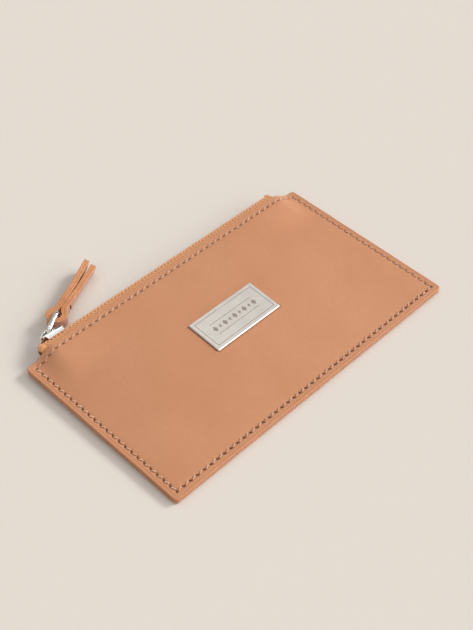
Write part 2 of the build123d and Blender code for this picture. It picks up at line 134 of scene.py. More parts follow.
def closing(x, y):
    """0 where the pouch is full, 1 at the side seams: steep at the zip, gentle elsewhere."""
    beyond = np.clip((np.abs(x) - FULL_HALF_LENGTH) / (SIDE_SEAM - FULL_HALF_LENGTH), 0, 1)
    steep = beyond + ZIP_END_ROUNDING * (smooth(beyond, 0, 1) - beyond)
    gentle = np.clip((np.abs(x) - EASE_START) / (SIDE_SEAM - EASE_START), 0, 1) ** 2
    return gentle + (steep - gentle) * smooth(y, ZIP_BAND_START, HALF_DEPTH)


def side_lift(y):
    """How high the side seams stand off the floor."""
    return SIDE_LIFT_NEAR + (SIDE_LIFT_FAR - SIDE_LIFT_NEAR) * (y + HALF_DEPTH) / (2 * HALF_DEPTH)


# ---- the surfaces of the leather ----
def plate_distance(x, y):
    """Distance outside the metal plate's outline, below zero on the plate."""
    beside = np.abs(x - PLATE_MIDDLE[0]) - PLATE_HALF[0]
    before = np.abs(y - PLATE_MIDDLE[1]) - PLATE_HALF[1]
    outside = np.hypot(np.maximum(beside, 0), np.maximum(before, 0))
    return outside + np.minimum(np.maximum(beside, before), 0)


def ripple(x, y, phase):
    """The slow unevenness of a real hide, about 1 high."""
    return (
        0.5 * np.sin(x / 11.3 + 0.6 * np.sin(y / 9.1 + phase) + phase)
        + 0.3 * np.sin(y / 7.7 - x / 23.0 + 2.1 * phase)
        + 0.2 * np.sin((x + 1.3 * y) / 5.9 + 3.3 * phase)
    )


def settle(x, y):
    """0 at the seams and on the plate, 1 where the leather is free."""
    from_seam = np.minimum(HALF_DEPTH - np.abs(y), HALF_WIDTH - np.abs(x))
    return smooth(from_seam, *SEAM_HOLD) * smooth(plate_distance(x, y), *PLATE_HOLD)


def front_under(x, y):
    """Height of the front panel's underside."""
    run = TAPE_INNER_EDGE + HALF_DEPTH - SEAM_WIDTH
    left = np.clip((TAPE_INNER_EDGE - y) / run, 0, 1)
    full = LONG_SEAM_UNDERSIDE + (ZIP_EDGE_TOP - LEATHER - LONG_SEAM_UNDERSIDE) * (1 - left**2)
    seam = side_lift(y) + LEATHER + 2 * LINING
    uneven = RIPPLE_HEIGHT * ripple(x, y, 0.4) * settle(x, y)
    return full + (seam - full) * closing(x, y) + uneven


def front_top(x, y):
    """Height of the front panel's face, which gives a little under the plate."""
    outside = plate_distance(x, y)
    pressed = PLATE_PRESS * (1 - smooth(outside, *PLATE_RISE))
    bulge = PLATE_BULGE * bell(outside - BULGE_DISTANCE, BULGE_WIDTH)
    return front_under(x, y) + LEATHER - pressed + bulge


def back_under(x, y):
    """Height of the back panel's underside, which rests on the floor in the middle."""
    long_seam = LONG_LIFT * (1 - smooth(y, -HALF_DEPTH + SEAM_WIDTH, LONG_SLOPE_END))
    full = long_seam + ZIP_EDGE_LIFT * smooth(y, TAPE_INNER_EDGE, ZIP_SLOPE_END)
    uneven = BACK_RIPPLE * (1 + ripple(x, y, 2.2)) * settle(x, y)
    raised = smooth(np.abs(x), BACK_SLOPE_START, SIDE_SEAM)
    return full + (side_lift(y) - full) * raised + uneven


def back_top(x, y):
    """Height of the back panel's inner face."""
    return back_under(x, y) + LEATHER


# ---- meshes ----
def placed(name, data):
    """A new object in the scene."""
    thing = bpy.data.objects.new(name, data)
    bpy.context.scene.collection.objects.link(thing)
    return thing


def meshed(name, points, faces, material):
    """A new object with a mesh, from points in millimetres."""
    mesh = bpy.data.meshes.new(name)
    mesh.from_pydata((np.asarray(points) * MM).tolist(), [], faces)
    mesh.materials.append(material)
    return placed(name, mesh)


def mesh_piece(name, points, faces, material, body, stands_for=None, marks=None):
    """A piece that rides on a body and may stand for a node."""
    piece = meshed(name, points, faces, material)
    piece.data.shade_smooth()
    for label, values in (marks or {}).items():
        mark = piece.data.attributes.new(label, "FLOAT", "POINT")
        mark.data.foreach_set("value", np.asarray(values, np.float32))
    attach(piece, body)
    if stands_for:
        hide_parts(stands_for)
    return piece


def joined(parts):
    """Several (points, faces) pairs as one."""
    points, faces, count = [], [], 0
    for part_points, part_faces in parts:
        points.append(part_points)
        faces += [tuple(i + count for i in face) for face in part_faces]
        count += len(part_points)
    return np.concatenate(points), faces


def loop_faces(loops, count):
    """Quads between neighbouring loops of count points."""
    faces = []
    for start in range(0, (loops - 1) * count, count):
        for i in range(count):
            after = (i + 1) % count
            faces.append((start + i, start + after, start + count + after, start + count + i))
    return faces


def closed_faces(loops, count):
    """The same, with a face across each end."""
    first = tuple(reversed(range(count)))
    last = tuple((loops - 1) * count + i for i in range(count))
    return [*loop_faces(loops, count), first, last]


def unit(vectors):
    """The same directions with a length of 1."""
    return vectors / np.linalg.norm(vectors, axis=-1, keepdims=True)


def travelled(line):
    """Distance along a line from its start to each of its points."""
    steps = np.linalg.norm(np.diff(line, axis=0), axis=1)
    return np.concatenate(((0.0,), np.cumsum(steps)))


def directions(line, reference):
    """Across and up at each point of a line; reference is never along the line."""
    along = unit(np.gradient(line, axis=0))
    across = unit(np.cross(along, reference))
    return across, np.cross(across, along)


def sweep(line, section, reference, sizes=None):
    """A section carried along a line and closed at both ends."""
    across, up = directions(line, reference)
    sizes = np.ones(len(line)) if sizes is None else sizes
    side = section[None, :, 0, None] * across[:, None, :]
    rise = section[None, :, 1, None] * up[:, None, :]
    points = line[:, None, :] + sizes[:, None, None] * (side + rise)
    faces = [face[::-1] for face in closed_faces(len(line), len(section))]
    return points.reshape(-1, 3), faces


def circle(radius, count):
    """Points of a circle, as a section to sweep."""
    turn = np.arange(count) * 2 * pi / count
    return radius * np.column_stack((np.cos(turn), np.sin(turn)))


# ---- the border of a panel ----
def stitches_along(half_length):
    """How many stitches fit along a side, and their pitch."""
    length = 2 * (half_length - STITCH_INSET)
    count = round(length / STITCH_PITCH)
    return count, length / count


def corner_point(share, pitch, inset):
    """Forward and inward travel over a share of the way from a row's end to mid corner."""
    radius = max(CORNER_RADIUS - inset, 0.0)
    run = STITCH_INSET + pitch - inset - radius
    distance = share * (run + radius * pi / 4)
    if distance <= run:
        return distance, 0.0
    angle = (distance - run) / radius
    return run + radius * sin(angle), radius * (1 - cos(angle))


def ring(inset, shares):
    """Points round a panel, inset from its edge, with the same shares of every stitch."""
    points = []
    forward = np.array((1, 0))
    along, across = HALF_WIDTH, HALF_DEPTH
    for _ in range(4):
        outward = np.array((forward[1], -forward[0]))
        count, pitch = stitches_along(along)
        next_pitch = stitches_along(across)[1]
        first = -along + STITCH_INSET + pitch
        last = along - STITCH_INSET - pitch
        flat = []
        for stitch in range(count - 2):
            flat += [(first + (stitch + share) * pitch, across - inset) for share in shares]
        for share in shares:
            ahead, inward = corner_point(share, pitch, inset)
            flat.append((last + ahead, across - inset - inward))
        for share in shares:
            ahead, inward = corner_point(1 - share, next_pitch, inset)
            flat.append((along - inset - inward, across - STITCH_INSET - next_pitch + ahead))
        points += [position * forward + out * outward for position, out in flat]
        forward = -outward
        along, across = across, along
    return np.array(points)


def hole_share(inset):
    """How deep each point of a ring lies in its nearest needle hole, from 0 to 1."""
    shares = np.array(STITCH_SHARES)
    along = np.where(shares < 0.5, shares, shares - 1) * STITCH_PITCH
    inward = inset - STITCH_INSET
    length = along * cos(HOLE_ANGLE) + inward * sin(HOLE_ANGLE)
    breadth = inward * cos(HOLE_ANGLE) - along * sin(HOLE_ANGLE)
    near = (length / HOLE_LENGTH) ** 2 + (breadth / HOLE_BREADTH) ** 2
    return np.exp(-(near**1.5))


def groove(inset):
    """Depth of the seam's groove and of the creased line near the edge."""
    sewn = GROOVE_DEPTH * bell(inset - STITCH_INSET, GROOVE_WIDTH)
    return sewn + CREASE_DEPTH * bell(inset - CREASE_INSET, CREASE_WIDTH)


def fill(outline, inside):
    """Triangles between an outline and the points inside it."""
    flat = [Vector(point) for point in np.concatenate((outline, inside))]
    result = delaunay_2d_cdt(flat, [], [list(range(len(outline)))], 1, 1e-5)
    origin = [sources[0] for sources in result[3]]
    return [tuple(origin[i] for i in face) for face in result[2]]


ROW_SHARE = 0.866  # height of a triangle with equal sides, as a share of its side


def inner_points(inset, spacing):
    """A staggered grid over the middle of a panel."""
    points = []
    reach_x, reach_y = HALF_WIDTH - inset, HALF_DEPTH - inset
    for row, y in enumerate(np.arange(-reach_y, reach_y + 0.01, spacing * ROW_SHARE)):
        start = spacing / 2 * (row % 2) - reach_x
        points += [(x, y) for x in np.arange(start, reach_x + 0.01, spacing)]
    return np.array(points)


PLATE_OFFSETS = (-0.6, -0.15, 0.05, 0.2, 0.4, 0.7, 1.1, 1.6, 2.2)
PLATE_COLUMNS, PLATE_ROWS = 60, 30  # of leather points round the plate


def plate_points():
    """Loops of points that follow the outline of the metal plate."""
    points = []
    for offset in PLATE_OFFSETS:
        width, depth = PLATE_HALF[:2] + offset
        across = np.linspace(-width, width, PLATE_COLUMNS, endpoint=False)
        along = np.linspace(-depth, depth, PLATE_ROWS, endpoint=False)
        for sign in (1, -1):
            points += [(sign * x, -sign * depth) for x in across]
            points += [(sign * width, sign * y) for y in along]
    return PLATE_MIDDLE[:2] + points


FIELD_INSET = 5.2  # where the fine border meets the middle of a panel's face
FIELD_GAP, FIELD_SPACING = 0.9, 1.7  # from there to the middle's points, and between them
HIDDEN_INSET = 1.6  # the same for its hidden side
HIDDEN_GAP, HIDDEN_SPACING = 1.5, 3.5
PLATE_MARGIN = 2.9  # the middle's points stay this far outside the plate
EDGE_WOBBLE = 0.05  # half the most that a hand-cut edge wanders inwards
FACE_INSETS = (
    4.6, 4.1, 3.75, 3.5, 3.3, 3.15, 3.02, 2.91, 2.8, 2.69, 2.58, 2.45, 2.3, 2.1, 1.85,
    1.6, 1.4, 1.28, 1.19, 1.1, 1.01, 0.92, 0.78, 0.6, 0.48, 0.4,
)
SIDE_STEPS = (
    (0.29, 0.02), (0.19, 0.06), (0.1, 0.13), (0.04, 0.22), (0.0, 0.34), (0.0, 0.5), (0.0, 0.66),
    (0.04, 0.78), (0.1, 0.87), (0.19, 0.94), (0.3, 1.0),
)
HALF_SHARES = (0, 0.5)


def wandered(flat, inset, phase):
    """Ring points drawn in a little where the cut edge wanders."""
    angle = np.arctan2(flat[:, 1] / HALF_DEPTH, flat[:, 0] / HALF_WIDTH)
    waves = 0.6 * np.sin(9 * angle + phase) + 0.4 * np.sin(23 * angle + 2 * phase)
    on_edge = np.abs(flat) > np.array([HALF_WIDTH, HALF_DEPTH]) - inset - 0.5
    pull = EDGE_WOBBLE * (1 + waves) * max(0.0, 1 - inset / 2)
    return flat - np.sign(flat) * pull[:, None] * on_edge


def border_rings():
    """(inset, shares, depth, hole, rim) of each ring, from the face round to the hidden side."""
    stitches = [stitches_along(half)[0] for half in (HALF_WIDTH, HALF_DEPTH)] * 2
    opening = np.repeat(HOLE_OPENINGS, stitches)
    rings = [(FIELD_INSET, HALF_SHARES, 0.0, 0.0, 0.0)]
    for inset in FACE_INSETS:
        hole = np.outer(opening, hole_share(inset)).ravel()
        rings.append((inset, STITCH_SHARES, groove(inset), hole, 1 - smooth(inset, 0.2, 0.7)))
    for inset, depth in SIDE_STEPS:
        rings.append((inset, STITCH_SHARES, depth * LEATHER, 0.0, 1.0))
    rings.append((HIDDEN_INSET, HALF_SHARES, LEATHER, 0.0, 0.0))
    return rings


def border_faces(coarse, fine, layers):
    """Faces between the rings: the first and last are coarse, the layers between are fine."""
    shares = fine // coarse
    last_fine = coarse + (layers - 1) * fine
    last_coarse = last_fine + fine
    faces = []
    for column in range(coarse):
        after = (column + 1) % coarse
        steps = [(column * shares + i) % fine for i in range(shares + 1)]
        faces.append((after, column, *[coarse + i for i in steps]))
        turned = [last_fine + i for i in reversed(steps)]
        faces.append((last_coarse + column, last_coarse + after, *turned))
    for face in loop_faces(layers, fine):
        faces.append(tuple(coarse + i for i in reversed(face)))
    return faces


def middle_faces(ring_points, ring_start, grid, grid_start):
    """Triangles that fill a coarse ring, numbered as in the whole panel."""
    count = len(ring_points)
    return [
        tuple(ring_start + i if i < count else grid_start + i - count for i in triangle)
        for triangle in fill(ring_points[:, :2], grid)
    ]


def leather_panel(name, outer, inner, facing, phase, material):
    """A cut piece of leather with rounded edges, a sewn border and needle holes.

    outer and inner give the heights of its face and of its hidden side; facing is 1 when the
    face points up and -1 when it points down.
    """
    rings, holes, rims = [], [], []
    for inset, shares, depth, hole, rim in border_rings():
        flat = wandered(ring(inset, shares), inset, phase)
        face, hidden = outer(*flat.T), inner(*flat.T)
        height = face + (hidden - face) * depth / LEATHER - facing * hole * HOLE_DEPTH
        rings.append(np.column_stack((flat, height)))
        holes.append(np.broadcast_to(hole, len(flat)))
        rims.append(np.full(len(flat), rim))

    face_grid = inner_points(FIELD_INSET + FIELD_GAP, FIELD_SPACING)
    if facing > 0:
        clear = plate_distance(*face_grid.T) > PLATE_MARGIN
        face_grid = np.concatenate((face_grid[clear], plate_points()))
    hidden_grid = inner_points(HIDDEN_INSET + HIDDEN_GAP, HIDDEN_SPACING)
    face_middle = np.column_stack((face_grid, outer(*face_grid.T)))
    hidden_middle = np.column_stack((hidden_grid, inner(*hidden_grid.T)))

    coarse, fine, layers = len(rings[0]), len(rings[1]), len(rings) - 2
    last_coarse = coarse + layers * fine
    face_start = last_coarse + coarse
    hidden_start = face_start + len(face_grid)
    faces = border_faces(coarse, fine, layers)
    faces += middle_faces(rings[0], 0, face_grid, face_start)
    hidden_faces = middle_faces(rings[-1], last_coarse, hidden_grid, hidden_start)
    faces += [face[::-1] for face in hidden_faces]
    if facing < 0:
        faces = [face[::-1] for face in faces]
    spare = np.zeros(len(face_grid) + len(hidden_grid))
    # the hole mark also sets the painted shade of the needle holes in the leather material
    marks = {"hole": np.concatenate(holes + [spare]), "rim": np.concatenate(rims + [spare])}
    points = np.concatenate(rings + [face_middle, hidden_middle])
    stands_for = name.replace("leather", "panel")
    piece = mesh_piece(name, points, faces, material, "pouch", stands_for, marks)


# ---- seam thread ----
STRAND_SHARE = 0.62  # radius of each strand, as a share of the thread's
STRAND_OFFSET, STRAND_SIDES = 0.42, 6  # how far it lies off the middle, and its sides
THREAD_TURN = 1.5
STITCH_REACH = HOLE_LENGTH * 1.15  # from a hole's middle to where its stitch starts
FRONT_SINK = 0.06  # how far the thread is pulled into the leather
BACK_SINK = 0.26  # and on the side that rests on the floor


def twisted(line, reference, radius, turn_length):
    """Two strands twisted round a line."""
    angle = travelled(line) * 2 * pi / turn_length
    across, up = directions(line, reference)
    section = circle(STRAND_SHARE * radius, STRAND_SIDES)
    strands = []
    for start in (0, pi):
        aside = np.cos(angle + start)[:, None] * across + np.sin(angle + start)[:, None] * up
        strands.append(sweep(line + STRAND_OFFSET * radius * aside, section, reference))
    return joined(strands)


# (share of its length, height over the leather) from either end of a stitch to its middle
STITCH_RISE = (
    (0.0, -0.62), (0.02, -0.36), (0.05, -0.12), (0.11, 0.03), (0.2, 0.1), (0.32, 0.13), (0.44, 0.14)
)


def seam_thread(name, surface, facing, sink, material, replaced):
    """One slanted stitch from every needle hole to the next, pulled sink into the leather."""
    holes = ring(STITCH_INSET, (0,))
    shares, rise = np.array(STITCH_RISE).T
    shares = np.concatenate((shares, 1 - shares[::-1]))
    rise = np.concatenate((rise, rise[::-1])) - sink
    stitches = []
    for start, end in zip(holes, np.roll(holes, -1, axis=0)):
        along = unit(end - start)
        inward = np.array((-along[1], along[0]))
        slant = cos(HOLE_ANGLE) * along + sin(HOLE_ANGLE) * inward
        first = start + STITCH_REACH * slant
        span = end - STITCH_REACH * slant - first
        flat = first + shares[:, None] * span
        line = np.column_stack((flat, surface(*flat.T) + facing * rise))
        reference = unit(np.array((-span[1], span[0], 0.0)))
        stitches.append(twisted(line, reference, THREAD_RADIUS, THREAD_TURN))
    points, faces = joined(stitches)
    mesh_piece(name, points, faces, material, "pouch", replaced)


# ---- linings ----
LINING_INSET = 0.35
LINING_STEP, LINING_CORNER_STEPS = 1.5, 7  # between its outline's points, and points a corner
LINING_GRID_INSET, LINING_SPACING = 2.0, 2.5
LINING_NOTCH_ROOM = 1.2  # between its grid and its notch for the zip
LINING_SHARE = 0.7  # of its thickness: the glue takes up the rest


def lining_outline():
    """Outline of a lining, anticlockwise: it stops where the zip tape starts."""
    edge_x, edge_y = HALF_WIDTH - LINING_INSET, HALF_DEPTH - LINING_INSET
    left, right = tape_low[0] - LINING_INSET, tape_high[0] + LINING_INSET
    notch = [(right, edge_y), (right, TAPE_INNER_EDGE), (left, TAPE_INNER_EDGE), (left, edge_y)]
    corners = [(-edge_x, -edge_y), (edge_x, -edge_y), (edge_x, edge_y), *notch, (-edge_x, edge_y)]
    points = []
    for index, corner in enumerate(corners):
        span = np.subtract(corners[(index + 1) % len(corners)], corner)
        after, before = unit(span), unit(np.subtract(corners[index - 1], corner))
        radius = 0.0 if corner in notch else CORNER_RADIUS
        for turn in np.linspace(0, pi / 2, LINING_CORNER_STEPS if radius else 1):
            inward = (1 - cos(turn)) * after + (1 - sin(turn)) * before
            points.append(corner + radius * inward)
        start = max(radius, 0.5) + LINING_STEP
        for distance in np.arange(start, np.linalg.norm(span) - start, LINING_STEP):
            points.append(corner + after * distance)
    return np.array(points)


def lining(name, surface, side, material):
    """A thin woven lining, glued to the upper (side 1) or lower (side -1) face of a panel."""
    outline = lining_outline()
    grid = inner_points(LINING_GRID_INSET, LINING_SPACING)
    notch = (grid[:, 0] > tape_low[0] - LINING_STEP) & (grid[:, 0] < tape_high[0] + LINING_STEP)
    grid = grid[~(notch & (grid[:, 1] > TAPE_INNER_EDGE - LINING_NOTCH_ROOM))]
    flat = np.concatenate((outline, grid))
    middle = surface(*flat.T) + side * LINING / 2
    half = LINING_SHARE * LINING / 2
    top = np.column_stack((flat, middle + half))
    bottom = np.column_stack((flat, middle - half))
    faces = fill(outline, grid)
    count = len(flat)
    faces += [tuple(count + i for i in reversed(face)) for face in faces]
    for i in range(len(outline)):
        after = (i + 1) % len(outline)
        faces.append((i, count + i, count + after, after))
    points = np.concatenate((top, bottom))
    stands_for = name.replace("_cloth", "")
    piece = mesh_piece(name, points, faces, material, "pouch", stands_for)


# ---- zip ----
TAPE = 0.45
TAPE_FOLD_FACE = coil_high[1]  # the folded tape hides the coil
TAPE_FOLD_RADIUS, FOLD_STEPS = 1.1, 14  # of its centre line
TAPE_EASED = 5.9 - MID_HEIGHT  # its centre line over the coil, below the slider's flanges
TAPE_EASE_END = 41.9  # it comes down to that height between the leather's edge and here
TAPE_STEPS = (30.0, 32.5, 35.0, 37.0, 38.0)  # of its profile, before the finer ones
TAPE_BEND_START, TAPE_FINE_STEP = 38.5, 0.13  # where they start, and their length
TAPE_ROW = 0.17  # between its rows of points
TAPE_CLEARANCE = 0.03  # between the tape and the leather over it
TAPE_FREE = HALF_DEPTH + 1.2  # the leather no longer shapes it here
FLANGE_EDGE = 41.5  # the slider's flanges pass over the tape beyond this
WEAVE_ROOM, FLANGE_ROOM = 0.3, 0.1  # the most that the weave stands up, outside and under them
CHEVRON_PITCH = 1.7
CHEVRON_SLANT = 1.25
CHEVRON_FLAT = 0.45  # above 0, the ridges are broader than the valleys
CHEVRON_HEIGHT = 0.1
SPINE_WIDTH = 0.2
SLIT_WIDTH, SLIT_DEPTH = 0.17, 0.25
LOBE_HEIGHT = 0.2
NOSE_SHARE, NOSE_RADIUS = 0.6, 1.3  # the lobe's rounded start
CHEVRON_SPINE = 2.5  # from the tape's folded edge to the line where the chevrons meet
LOBE_LENGTH = 2.9  # the folded end of each tape, ahead of the slider
TAPE_WOVEN_START = tape_low[0] - 1.1
COIL_PITCH = 1.27
COIL_WIRE = 0.27
COIL_HEAD = 0.26  # the loops stop this far from the middle, clear of the slider's divider
COIL_REACH = 1.5
COIL_DEPTH = 1.35
COIL_SQUARENESS = 0.75  # below 1 flattens the loops' sides
COIL_OUTER = coil_high[1] - TAPE - 0.05  # just inside the folded tape
COIL_STEPS, COIL_SIDES = 16, 7  # points along each loop and round the wire


def tape_profile(side):
    """Centre line, outward direction, half thickness and arc length across one tape."""
    flat = tape_high[2] - MID_HEIGHT - TAPE / 2 - TAPE_CLEARANCE
    fold_y = TAPE_FOLD_FACE - TAPE / 2 - TAPE_FOLD_RADIUS
    fold_z = TAPE_EASED - TAPE_FOLD_RADIUS
    centre = []
    for y in (*TAPE_STEPS, *np.arange(TAPE_BEND_START, fold_y - 0.05, TAPE_FINE_STEP)):
        eased = smooth(y, HALF_DEPTH + 0.2, TAPE_EASE_END)
        centre.append((y, flat + (TAPE_EASED - flat) * eased))
    for turn in np.linspace(0, pi / 2, FOLD_STEPS):
        out = (sin(turn), cos(turn))
        centre.append((fold_y + TAPE_FOLD_RADIUS * out[0], fold_z + TAPE_FOLD_RADIUS * out[1]))
    for z in np.linspace(fold_z, CHAIN_GAP, 4)[1:]:
        centre.append((TAPE_FOLD_FACE - TAPE / 2, z))
    centre = np.array(centre)
    slope = unit(np.gradient(centre, axis=0))
    out = np.column_stack((-slope[:, 1], slope[:, 0]))
    arc = travelled(centre)
    rounding = ((arc - arc[-1] + TAPE / 2) / (TAPE / 2)).clip(0, 1)
    half = TAPE / 2 * np.sqrt(np.clip(1 - rounding**2, 0.05, 1))
    centre[:, 1] = MID_HEIGHT + side * centre[:, 1]
    out[:, 1] *= side
    return centre, out, half, arc


def tape_relief(x, arc):
    """Height and painted shade of the weave at one station, and how far the tape is tucked in.

    Chevrons meet along a spine; the tape starts with a plain rounded lobe, cut off by a slit.
    """
    from_spine = np.abs(arc[-1] - arc - CHEVRON_SPINE)
    wave = np.cos(2 * pi * (x - CHEVRON_SLANT * from_spine) / CHEVRON_PITCH)
    leaf = np.clip(wave + CHEVRON_FLAT, -1, 1)
    spine = bell(from_spine, SPINE_WIDTH)
    into_lobe = x - TAPE_WOVEN_START
    slit = bell(into_lobe - LOBE_LENGTH, SLIT_WIDTH)
    nose = min(into_lobe / LOBE_LENGTH / NOSE_SHARE, 1.0)
    tuck = NOSE_RADIUS * (1 - sqrt(1 - (1 - nose) ** 2))
    # the last value is painted shade: darker in the weave's valleys, along the spine and in the
    # slit
    if into_lobe < LOBE_LENGTH:
        raised = LOBE_HEIGHT - SLIT_DEPTH * slit + 0.02 * leaf
        return raised, tuck, 0.3 * (0.5 - 0.5 * leaf) + slit
    raised = CHEVRON_HEIGHT * (1 - slit) * (leaf - 0.7 * spine) - SLIT_DEPTH * slit
    return raised, tuck, (1 - slit) * (0.5 - 0.5 * leaf + 0.5 * spine) + slit


def zip_tape(name, side, surface, material):
    """A woven tape sewn to a panel's hidden surface and folded over the zip edge."""
    centre, out, half, arc = tape_profile(side)
    layers, marks = [], []
    for x in np.arange(TAPE_WOVEN_START, tape_high[0], TAPE_ROW):
        raised, tuck, mark = tape_relief(x, arc)
        most = TAPE / 2 + np.where(centre[:, 0] < FLANGE_EDGE, WEAVE_ROOM, FLANGE_ROOM)
        outer_half = np.clip(half + raised, 0.02, most)
        room = surface(x, centre[:, 0]) - (centre[:, 1] + side * TAPE / 2)
        under_leather = 1 - smooth(centre[:, 0], HALF_DEPTH, TAPE_FREE)
        drop = side * np.minimum(side * room - TAPE_CLEARANCE, 0) * under_leather
        middle = centre + np.column_stack((np.zeros(len(drop)), drop)) - tuck * out
        outer = middle + out * outer_half[:, None]
        inner = middle - out * half[:, None]
        loop = np.concatenate((outer, inner[::-1]))
        layers.append(np.column_stack((np.full(len(loop), x), loop)))
        # painted shade of each point: from the weave on the outer side, a middling value on the
        # inner side
        marks.append(np.concatenate((mark, np.full(len(inner), 0.5))))
    faces = closed_faces(len(layers), len(layers[0]))
    if side > 0:
        faces = [face[::-1] for face in faces]
    points = np.concatenate(layers)
    stands_for = name.replace("_woven", "")
    groove_shade = {"groove": np.concatenate(marks)}
    piece = mesh_piece(name, points, faces, material, "pouch", stands_for, groove_shade)


def zip_coil(name, side, material):
    """A nylon coil: one wire wound in flat loops inside the folded tape."""
    middle_z = (COIL_HEAD + COIL_REACH) / 2
    half_z = (COIL_REACH - COIL_HEAD) / 2 - COIL_WIRE
    half_y = COIL_DEPTH / 2 - COIL_WIRE
    loops = int((coil_high[0] - coil_low[0] - 2 * COIL_WIRE) / COIL_PITCH)
    turn = np.linspace(0, 2 * pi * loops, loops * COIL_STEPS + 1)
    swing, lift = np.cos(turn), np.sin(turn)
    z = middle_z + half_z * np.sign(swing) * np.abs(swing) ** COIL_SQUARENESS
    y = COIL_OUTER - COIL_DEPTH / 2 + half_y * np.sign(lift) * np.abs(lift) ** COIL_SQUARENESS
    start = coil_low[0] + COIL_WIRE + (0 if side > 0 else COIL_PITCH / 2)
    x = start + turn / (2 * pi) * COIL_PITCH
    line = np.column_stack((x, y, MID_HEIGHT + side * z))[x < coil_high[0] - COIL_WIRE]
    points, faces = sweep(line, circle(COIL_WIRE, COIL_SIDES), X_AXIS)
    mesh_piece(name, points, faces, material, "pouch", name.replace("_wound", ""))


# ---- pull strap ----
STRAP_PLY = 1.1
STRAP_WIDTH = strap_high[2] - strap_low[2]
STRAP_ANGLE = radians(26)
STRAP_LEAN = radians(17)
STRAP_LEAN_RUN = (3.0, 16.0)  # along the strap, where the lean starts and is complete
STRAP_TAILS = (29.4, 28.5)
STRAP_LOOP_CENTRE = -0.9
STRAP_LOOP_RADIUS = 1.9
STRAP_NECK_RADIUS = 6.0
STRAP_PARTING = 0.05
LOOP_STEPS, NECK_STEPS, TAIL_STEPS = 22, 16, 34  # points along each part of a ply
STRAP_STITCH_AT = 6.2
# (distance from its middle, height over the leather) from a needle hole to near its middle
STRAP_STITCH_RISE = ((1.0, -0.9), (1.0, -0.3), (0.96, 0.02), (0.8, 0.13), (0.5, 0.18))
STRAP_STITCH_TOP = 0.2
STRAP_THREAD_RADIUS, STRAP_THREAD_TURN = 0.26, 1.4
TAIL_SPREAD = 0.55  # how far each tip stands off the middle
PLY_CORNER, PLY_DOME = 0.13, 0.04  # of the cut edges
TIP_BEVEL, TIP_SHARE = 0.1, 0.93  # length of the eased tips, and their size at the end


def strap_place(local):
    """Points of the strap's own frame, at the link's far bar, as points in the model's frame.

    The tails lean: their upper edges tip towards the pouch, more with the distance.
    """
    lean = STRAP_LEAN * smooth(local[:, 0], *STRAP_LEAN_RUN)
    aside = local[:, 1] * np.cos(lean) - local[:, 2] * np.sin(lean)
    up = local[:, 1] * np.sin(lean) + local[:, 2] * np.cos(lean)
    along_x, along_y = cos(STRAP_ANGLE), sin(STRAP_ANGLE)
    x = FAR_BAR[0] + local[:, 0] * along_x - aside * along_y
    y = FAR_BAR[1] + local[:, 0] * along_y + aside * along_x
    return np.column_stack((x, y, MID_HEIGHT + up))


def tail_spread(distance):
    """How far a tail stands off the middle, more towards its tip."""
    free = max(0.0, distance - STRAP_STITCH_AT - 1) / (STRAP_TAILS[0] - STRAP_STITCH_AT)
    return TAIL_SPREAD * free**1.6


def strap_half(depth, tail, side):
    """Centre line of a ply from the middle of the loop to a tail's tip."""
    rise = STRAP_PARTING + STRAP_NECK_RADIUS
    across = STRAP_NECK_RADIUS + STRAP_LOOP_RADIUS
    neck_x = STRAP_LOOP_CENTRE + sqrt(across**2 - rise**2)
    neck_angle = atan2(rise, neck_x - STRAP_LOOP_CENTRE)
    loop = STRAP_LOOP_RADIUS + depth
    bend = STRAP_NECK_RADIUS - depth
    points = []
    for turn in np.linspace(pi, neck_angle, LOOP_STEPS):
        points.append((STRAP_LOOP_CENTRE + loop * cos(turn), side * loop * sin(turn)))
    for turn in np.linspace(neck_angle + pi, 1.5 * pi, NECK_STEPS)[1:]:
        points.append((neck_x + bend * cos(turn), side * (rise + bend * sin(turn))))
    for distance in np.linspace(neck_x, tail, TAIL_STEPS)[1:]:
        points.append((distance, side * (STRAP_PARTING + depth + tail_spread(distance))))
    return np.array(points)


def ply_section():
    """A strip of leather with rounded corners and slightly domed, painted edges."""
    half = STRAP_PLY / 2 - 0.01
    tall = STRAP_WIDTH / 2
    centre = np.array((half - PLY_CORNER, tall - PLY_DOME - PLY_CORNER))
    turns = np.linspace(0, pi / 2, 5)
    quarter = [centre + PLY_CORNER * np.array((cos(t), sin(t))) for t in turns]
    upper = quarter + [(0.0, tall)] + [(-x, y) for x, y in reversed(quarter)]
    lower = [(-x, -y) for x, y in upper]
    return np.array(upper + [(-half, 0.0)] + lower + [(half, 0.0)])


def strap_ply(name, depth, material):
    """One ply of the strap, folded round the link, with slightly eased tips."""
    left = strap_half(depth + STRAP_PLY / 2, STRAP_TAILS[0], 1)
    right = strap_half(depth + STRAP_PLY / 2, STRAP_TAILS[1], -1)
    flat = np.concatenate((left[::-1], right[1:]))
    tips, neighbours = flat[[0, -1]], flat[[1, -2]]
    eased = tips + TIP_BEVEL * unit(neighbours - tips)
    flat = np.concatenate((flat[:1], eased[:1], flat[1:-1], eased[1:], flat[-1:]))
    line = np.column_stack((flat, np.zeros(len(flat))))
    sizes = np.ones(len(line))
    sizes[[0, -1]] = TIP_SHARE
    points, faces = sweep(line, ply_section(), Z_AXIS, sizes)
    stands_for = name.replace("_folded", "")
    points = strap_place(points)
    mesh_piece(name, points, faces, material, "strap", stands_for)


def strap_stitch(name, material):
    """The waxed thread that goes through the tails at the neck and lies on both faces."""
    face = STRAP_PARTING + 2 * STRAP_PLY
    reach, rise = np.array(STRAP_STITCH_RISE).T
    heights = np.concatenate((-reach, (0.0,), reach[::-1]))
    outs = face + np.concatenate((rise, (STRAP_STITCH_TOP,), rise[::-1]))
    along = np.full(len(heights), STRAP_STITCH_AT)
    loops = []
    for side in (1, -1):
        local = np.column_stack((along, side * outs, heights))
        loops.append(twisted(local, X_AXIS, STRAP_THREAD_RADIUS, STRAP_THREAD_TURN))
    points, faces = joined(loops)
    place = strap_place(points)
    mesh_piece(name, place, faces, material, "strap", "strap_stitch")


